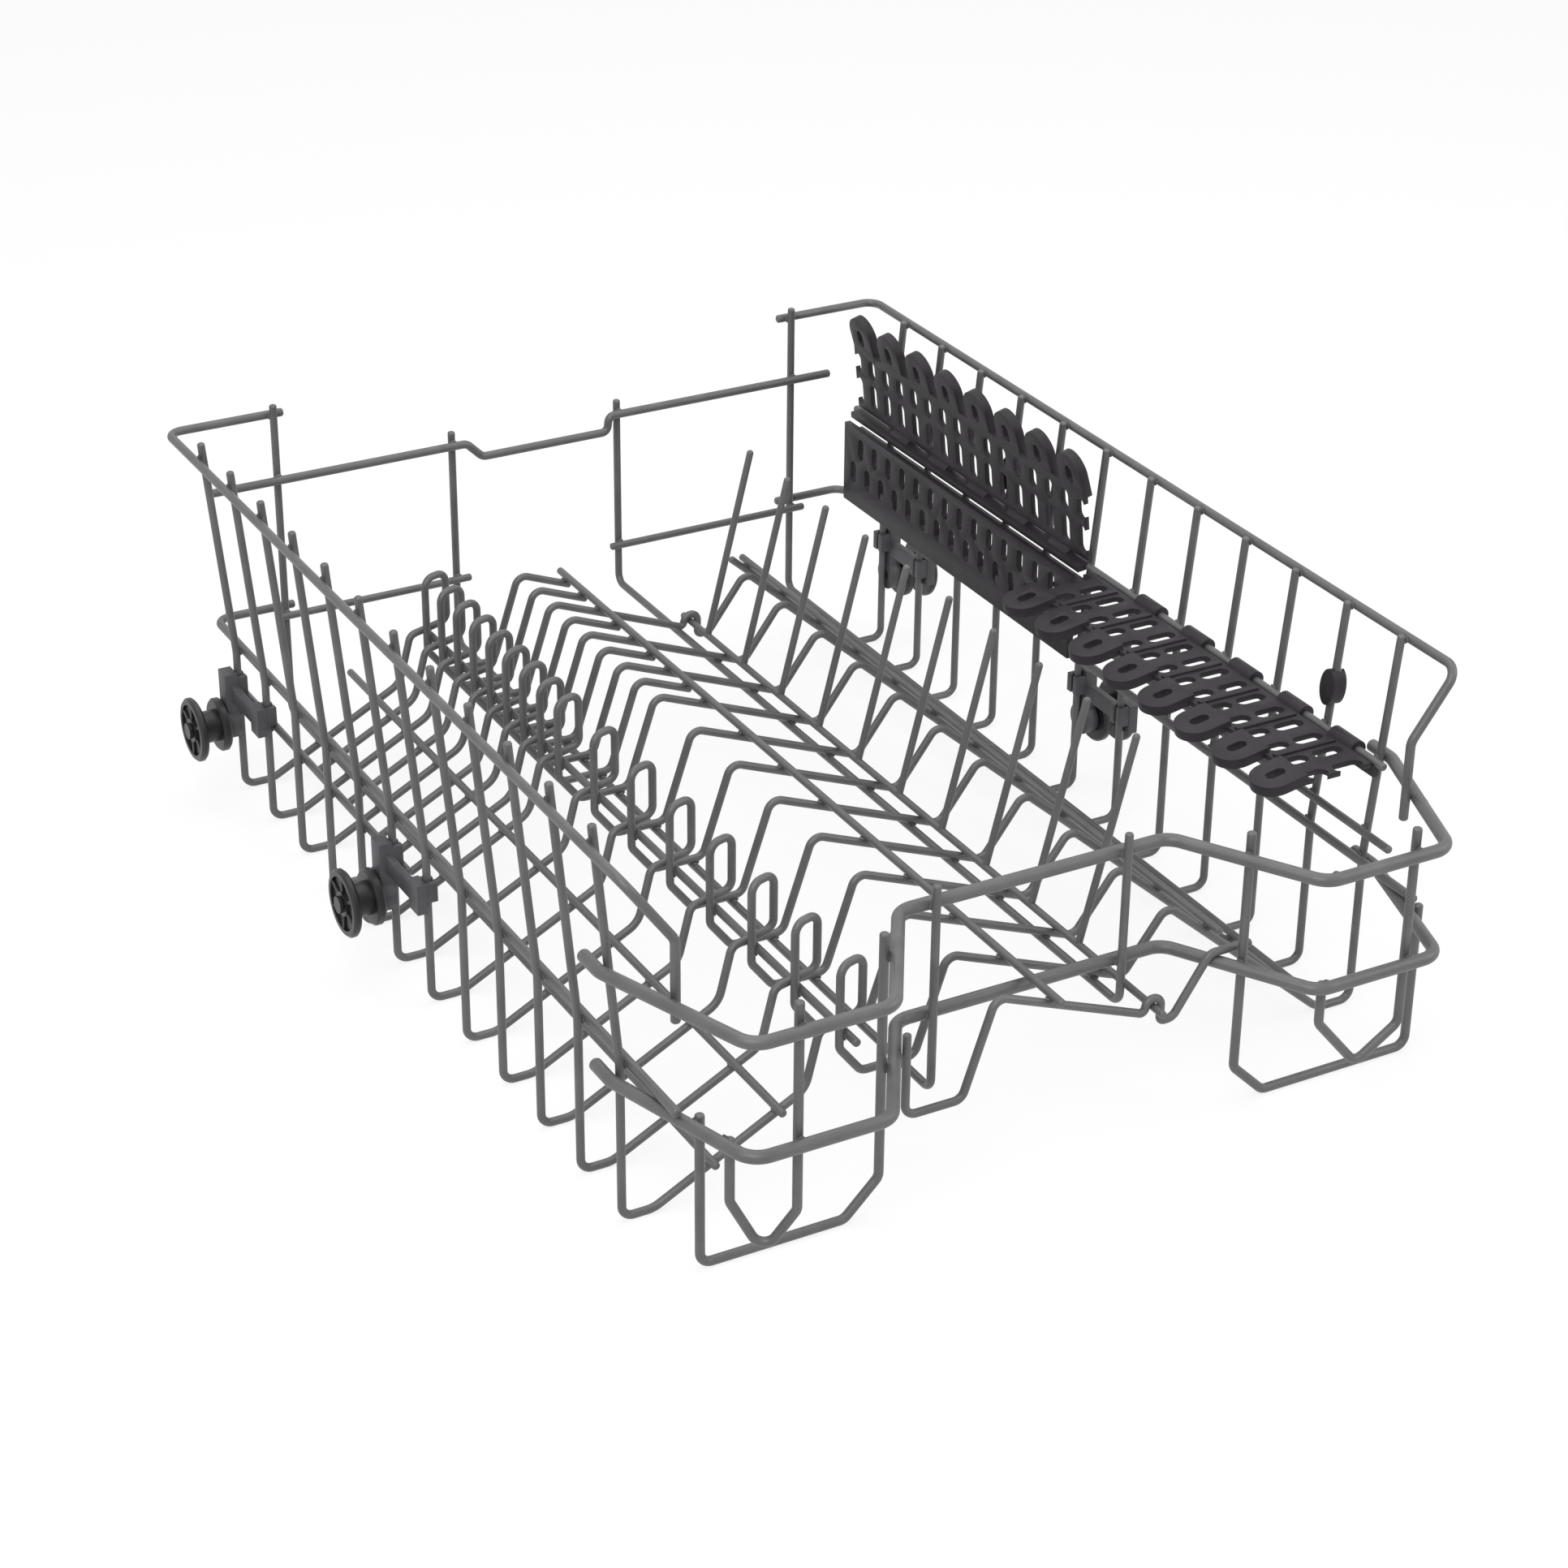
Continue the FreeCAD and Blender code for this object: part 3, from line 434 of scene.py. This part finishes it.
def front_uprights():
    """Upright wires at the front, as (x, y, radius) of their axes."""
    places = []
    for name in FEET:
        low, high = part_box(name)
        middle = (low.y + high.y) / 2
        places.append((low.x + RIM_RADIUS, middle, RIM_RADIUS))
        places.append((high.x - RIM_RADIUS, middle, RIM_RADIUS))
    for name in BRACES:
        low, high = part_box(name)
        places.append((high.x - RIM_RADIUS, low.y + RIM_RADIUS, RIM_RADIUS))
        places.append((low.x + RIM_RADIUS, high.y - RIM_RADIUS, RIM_RADIUS))
    for name in CENTRE_WIRES:
        low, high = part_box(name)
        places.append(((low.x + high.x) / 2, low.y + WIRE_RADIUS, WIRE_RADIUS))
    return places


def back_uprights():
    """Upright wires at the back, as (x, y) of their axes."""
    places = []
    for name in BACK_UPRIGHTS:
        low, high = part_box(name)
        places.append(((low.x + high.x) / 2, high.y - WIRE_RADIUS))
    return places


def surface_tree(name):
    """Search tree of a CAD node's surface."""
    mesh = NODES[name].data
    return BVHTree.FromPolygons([v.co for v in mesh.vertices], [p.vertices for p in mesh.polygons])


def weld_place(tree, axis_point, radius, reach):
    """Matrix of a web between a wire's axis and the nearest surface, or None if they don't meet."""
    spot, _, _, distance = tree.find_nearest(axis_point)
    if spot is None or distance > radius + reach:
        return None
    towards = (spot - axis_point).normalized()
    turn = Vector((0, 0, 1)).rotation_difference(towards)
    middle = axis_point + towards * (radius + distance) / 2
    return Matrix.Translation(middle) @ turn.to_matrix().to_4x4()


def rib_welds(reach):
    """Webs where long wires cross the ribs."""
    runs = crossing_runs()
    found = []
    for rib in [*RIBS, "front_rib"]:
        tree = surface_tree(rib)
        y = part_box(rib)[0].y + WIRE_RADIUS
        for name, x, z in runs:
            low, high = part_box(name)
            if low.y < y < high.y:
                found.append(weld_place(tree, Vector((x, y, z)), wire_radius(name), reach))
    return [place for place in found if place is not None]


def frame_welds(reach):
    """Webs where uprights cross the front rails, the back wires and the rims' returns."""
    found = []
    for rail in RAILS:
        tree = surface_tree(rail)
        low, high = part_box(rail)
        for x, y, radius in front_uprights():
            found.append(weld_place(tree, Vector((x, y, (low.z + high.z) / 2)), radius, reach))
    for name in (*BACK_WIRES, *RIMS):
        tree = surface_tree(name)
        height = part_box(name)[1].z - wire_radius(name)
        for x, y in back_uprights():
            found.append(weld_place(tree, Vector((x, y, height)), WIRE_RADIUS, reach))
    return [place for place in found if place is not None]


def web_pattern(radius, thickness):
    """One coated weld web: a low bead drawn out to a thin edge all round."""
    deselect()
    bpy.ops.mesh.primitive_uv_sphere_add(segments=WEB_SEGMENTS, ring_count=WEB_RINGS, radius=1)
    web = bpy.context.object
    bpy.ops.object.mode_set(mode="EDIT")
    bpy.ops.mesh.select_all(action="SELECT")
    bpy.ops.transform.resize(value=(radius * WEB_BEAD, radius * WEB_BEAD, thickness))
    bpy.ops.mesh.select_all(action="DESELECT")
    bpy.ops.object.mode_set(mode="OBJECT")
    for vertex in web.data.vertices:
        vertex.select = abs(vertex.co.z) < thickness * WEB_EDGE_BAND
    bpy.ops.object.mode_set(mode="EDIT")
    bpy.ops.transform.resize(value=(1 / WEB_BEAD, 1 / WEB_BEAD, 1))
    bpy.ops.object.mode_set(mode="OBJECT")
    return web


class RACK_OT_coat_wires(Operator):
    """Gives every wire, the front rails and the tines their dipped coating."""

    bl_idname = "rack.coat_wires"
    bl_label = "Coat Wires"

    def execute(self, context):
        finish = context.scene.rack_finish
        thin = [name for name in WIRES if name not in RAILS]
        paint(thin, coating("wire_finish", finish.wire_colour))
        paint(RAILS, coating("rail_finish", finish.rail_colour))
        return {"FINISHED"}


class RACK_OT_mould_plastics(Operator):
    """Gives the shelves, rollers, pins and carriers their moulded plastic."""

    bl_idname = "rack.mould_plastics"
    bl_label = "Mould Plastics"

    def execute(self, context):
        finish = context.scene.rack_finish
        shelf = moulded("shelf_finish", finish.shelf_colour, roughness=(0.42, 0.6), specular=0.25)
        paint([*SHELVES, *SHELF_FITTINGS], shelf)
        paint(ROLLERS, moulded("roller_finish", finish.roller_colour, roughness=(0.3, 0.46)))
        paint(CARRIERS, moulded("carrier_finish", finish.carrier_colour, roughness=(0.4, 0.58)))
        paint(AXLES, moulded("pin_finish", finish.pin_colour, roughness=(0.3, 0.45)))
        return {"FINISHED"}


class RACK_OT_round_plastics(Operator):
    """Stands copies with rounded edges in for the moulded shelves, carriers and fittings."""

    bl_idname = "rack.round_plastics"
    bl_label = "Round Plastics"

    def execute(self, context):
        detail = context.scene.rack_detail
        for name in sorted(PLASTIC - set(ROLLERS)):
            material = NODES[name].data.materials[0]
            piece = rounded_copy(NODES[name], detail.edge_round)
            settle(piece, name + "_moulding", material, SHELVES.get(name, "basket"))
            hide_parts(name)
        return {"FINISHED"}


class RACK_OT_add_weld_webs(Operator):
    """Adds the coated webs where wires are welded across each other."""

    bl_idname = "rack.add_weld_webs"
    bl_label = "Add Weld Webs"

    def execute(self, context):
        detail = context.scene.rack_detail
        material = bpy.data.materials["wire_finish"]
        for name, places in (("rib_weld_webs", rib_welds(detail.weld_reach)),
                             ("frame_weld_webs", frame_welds(detail.weld_reach))):
            if not places:
                raise RuntimeError("no welds were found for " + name)
            webs = copies_at(web_pattern(detail.weld_radius, detail.weld_thickness), places)
            settle(webs, name, material, "basket")
        return {"FINISHED"}


class RACK_OT_add_roller_spokes(Operator):
    """Adds the moulded spokes in the recess of each roller's outer face."""

    bl_idname = "rack.add_roller_spokes"
    bl_label = "Add Roller Spokes"

    def execute(self, context):
        detail = context.scene.rack_detail
        material = bpy.data.materials["roller_finish"]
        size = (detail.spoke_depth, detail.spoke_width, detail.spoke_outer - detail.spoke_inner)
        out = Matrix.Translation((0, 0, (detail.spoke_outer + detail.spoke_inner) / 2))
        for roller in ROLLERS:
            low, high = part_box(roller)
            sink = detail.spoke_depth * SPOKE_SINK
            side = low.x + sink if high.x < 0 else high.x - sink
            hub = Matrix.Translation((side, (low.y + high.y) / 2, (low.z + high.z) / 2))
            places = []
            for number in range(detail.spoke_count):
                turn = Matrix.Rotation(math.tau * number / detail.spoke_count, 4, "X")
                places.append(hub @ turn @ out)
            spokes = copies_at(bevelled_bar(size, detail.spoke_width * SPOKE_ROUND), places)
            body = roller.replace("_roller", "_wheel")
            settle(spokes, roller + "_spokes", material, body)
        return {"FINISHED"}


class RACK_OT_add_shelf_ribs(Operator):
    """Adds the raised ribs across the cup shelves, one between each two fingers."""

    bl_idname = "rack.add_shelf_ribs"
    bl_label = "Add Shelf Ribs"

    def execute(self, context):
        detail = context.scene.rack_detail
        material = bpy.data.materials["shelf_finish"]
        size = (detail.shelf_rib_length, detail.shelf_rib_width, 2 * detail.shelf_rib_height)
        for node, body in SHELVES.items():
            low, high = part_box(node)
            middle = (low.y + high.y) / 2
            swing = Matrix.Identity(4)
            if high.z - low.z > high.x - low.x:
                swing = (Matrix.Translation(HINGE_POINT) @ Matrix.Rotation(FOLD_ANGLE, 4, "Y")
                         @ Matrix.Translation(-HINGE_POINT))
            places = []
            for number in range(detail.shelf_rib_count):
                y = middle + (number - (detail.shelf_rib_count - 1) / 2) * detail.shelf_rib_pitch
                spot = HINGE_POINT + Vector((-detail.shelf_rib_place, y, detail.shelf_face))
                places.append(swing @ Matrix.Translation(spot))
            bar = bevelled_bar(size, detail.shelf_rib_height * SHELF_RIB_ROUND)
            settle(copies_at(bar, places), node + "_ribs", material, body)
        return {"FINISHED"}


# Studio
def background_share(tree, share):
    """Socket that is this share for rays that show the background itself, and 0 for the rest."""
    path = tree.nodes.new("ShaderNodeLightPath")
    total = path.outputs["Is Camera Ray"]
    for name in ("Is Glossy Ray", "Is Transmission Ray"):
        largest = tree.nodes.new("ShaderNodeMath")
        largest.operation = "MAXIMUM"
        tree.links.new(total, largest.inputs[0])
        tree.links.new(path.outputs[name], largest.inputs[1])
        total = largest.outputs["Value"]
    scaled = tree.nodes.new("ShaderNodeMath")
    scaled.operation = "MULTIPLY"
    scaled.inputs[1].default_value = share
    tree.links.new(total, scaled.inputs[0])
    return scaled.outputs["Value"]


def floor_material(glow):
    """Matt white floor that shows as almost plain white and still keeps a shadow."""
    material = bpy.data.materials.new("studio_floor")
    material.use_nodes = True
    tree = material.node_tree
    shader = tree.nodes["Principled BSDF"]
    shader.inputs["Base Color"].default_value = FLOOR_WHITE
    shader.inputs["Roughness"].default_value = FLOOR_ROUGHNESS
    shader.inputs["Specular IOR Level"].default_value = FLOOR_SPECULAR
    plain = tree.nodes.new("ShaderNodeEmission")
    mix = tree.nodes.new("ShaderNodeMixShader")
    tree.links.new(background_share(tree, glow), mix.inputs["Fac"])
    tree.links.new(shader.outputs["BSDF"], mix.inputs[1])
    tree.links.new(plain.outputs["Emission"], mix.inputs[2])
    tree.links.new(mix.outputs["Shader"], tree.nodes["Material Output"].inputs["Surface"])
    return material


def studio_sky(strength):
    """White behind the object, soft even light on it."""
    world = bpy.data.worlds.new("studio_sky")
    bpy.context.scene.world = world
    world.use_nodes = True
    tree = world.node_tree
    light = tree.nodes["Background"]
    light.inputs["Color"].default_value = WHITE
    light.inputs["Strength"].default_value = strength
    plain = tree.nodes.new("ShaderNodeBackground")
    plain.inputs["Color"].default_value = WHITE
    mix = tree.nodes.new("ShaderNodeMixShader")
    tree.links.new(background_share(tree, 1.0), mix.inputs["Fac"])
    tree.links.new(light.outputs["Background"], mix.inputs[1])
    tree.links.new(plain.outputs["Background"], mix.inputs[2])
    tree.links.new(mix.outputs["Shader"], tree.nodes["World Output"].inputs["Surface"])


def soft_lamp(name, place, width, power):
    """Large square lamp aimed at the rack."""
    lamp = bpy.data.lights.new(name, "AREA")
    lamp.size = width
    lamp.energy = power
    holder = bpy.data.objects.new(name, lamp)
    holder.location = place
    holder.rotation_euler = (-Vector(place)).to_track_quat("-Z", "Y").to_euler()
    bpy.context.scene.collection.objects.link(holder)


def aim_camera(stage):
    """Camera at the photograph's angle."""
    level = math.cos(stage.elevation)
    forward = Vector((math.sin(stage.azimuth) * level, math.cos(stage.azimuth) * level,
                      -math.sin(stage.elevation)))
    right = Vector((math.cos(stage.azimuth), -math.sin(stage.azimuth), 0))
    up = right.cross(forward)
    cosine = math.cos(stage.roll)
    sine = math.sin(stage.roll)
    across = right * cosine + up * sine
    upright = up * cosine - right * sine
    axes = Matrix((across, upright, -forward)).transposed().to_4x4()
    camera = bpy.data.objects.new("photo_camera", bpy.data.cameras.new("photo_camera"))
    camera.data.lens = stage.lens
    camera.data.sensor_width = SENSOR_WIDTH
    camera.matrix_world = Matrix.Translation(Vector(stage.target) - forward * stage.distance) @ axes
    bpy.context.scene.collection.objects.link(camera)
    bpy.context.scene.camera = camera


class RACK_OT_set_stage(Operator):
    """Sets the floor, the lamps and the camera."""

    bl_idname = "rack.set_stage"
    bl_label = "Set Stage"

    def execute(self, context):
        stage = context.scene.rack_stage
        deselect()
        bpy.ops.mesh.primitive_plane_add(size=stage.floor_size, location=(0, 0, CAD_BOX[0].z))
        floor = context.object
        floor.name = "studio_floor"
        floor.data.materials.append(floor_material(stage.floor_glow))
        studio_sky(stage.sky_strength)
        soft_lamp("key_lamp", *KEY_LAMP, stage.key_power)
        soft_lamp("fill_lamp", *FILL_LAMP, stage.fill_power)
        soft_lamp("top_lamp", *TOP_LAMP, stage.top_power)
        aim_camera(stage)
        context.scene.view_settings.view_transform = "Standard"
        return {"FINISHED"}


class RACK_PT_panel(Panel):
    """Lists the steps that dress the rack."""

    bl_label = "Dishwasher Rack"
    bl_idname = "RACK_PT_panel"
    bl_space_type = "VIEW_3D"
    bl_region_type = "UI"
    bl_category = "Rack"

    def draw(self, context):
        for step in STEPS:
            self.layout.operator(step.bl_idname)


STEPS = (
    RACK_OT_coat_wires,
    RACK_OT_mould_plastics,
    RACK_OT_round_plastics,
    RACK_OT_add_weld_webs,
    RACK_OT_add_roller_spokes,
    RACK_OT_add_shelf_ribs,
    RACK_OT_set_stage,
)
GROUPS = {"rack_finish": RackFinish, "rack_detail": RackDetail, "rack_stage": RackStage}


def register():
    """Registers the settings, the steps and the panel."""
    for name, group in GROUPS.items():
        bpy.utils.register_class(group)
        setattr(bpy.types.Scene, name, PointerProperty(type=group))
    for step in (*STEPS, RACK_PT_panel):
        bpy.utils.register_class(step)


def unregister():
    """Takes them out again."""
    for step in (RACK_PT_panel, *reversed(STEPS)):
        bpy.utils.unregister_class(step)
    for name, group in GROUPS.items():
        delattr(bpy.types.Scene, name)
        bpy.utils.unregister_class(group)


def main():
    """Dresses the rack."""
    register()
    bpy.ops.rack.coat_wires()
    bpy.ops.rack.mould_plastics()
    bpy.ops.rack.round_plastics()
    bpy.ops.rack.add_weld_webs()
    bpy.ops.rack.add_roller_spokes()
    bpy.ops.rack.add_shelf_ribs()
    bpy.ops.rack.set_stage()


if __name__ == "__main__":
    main()
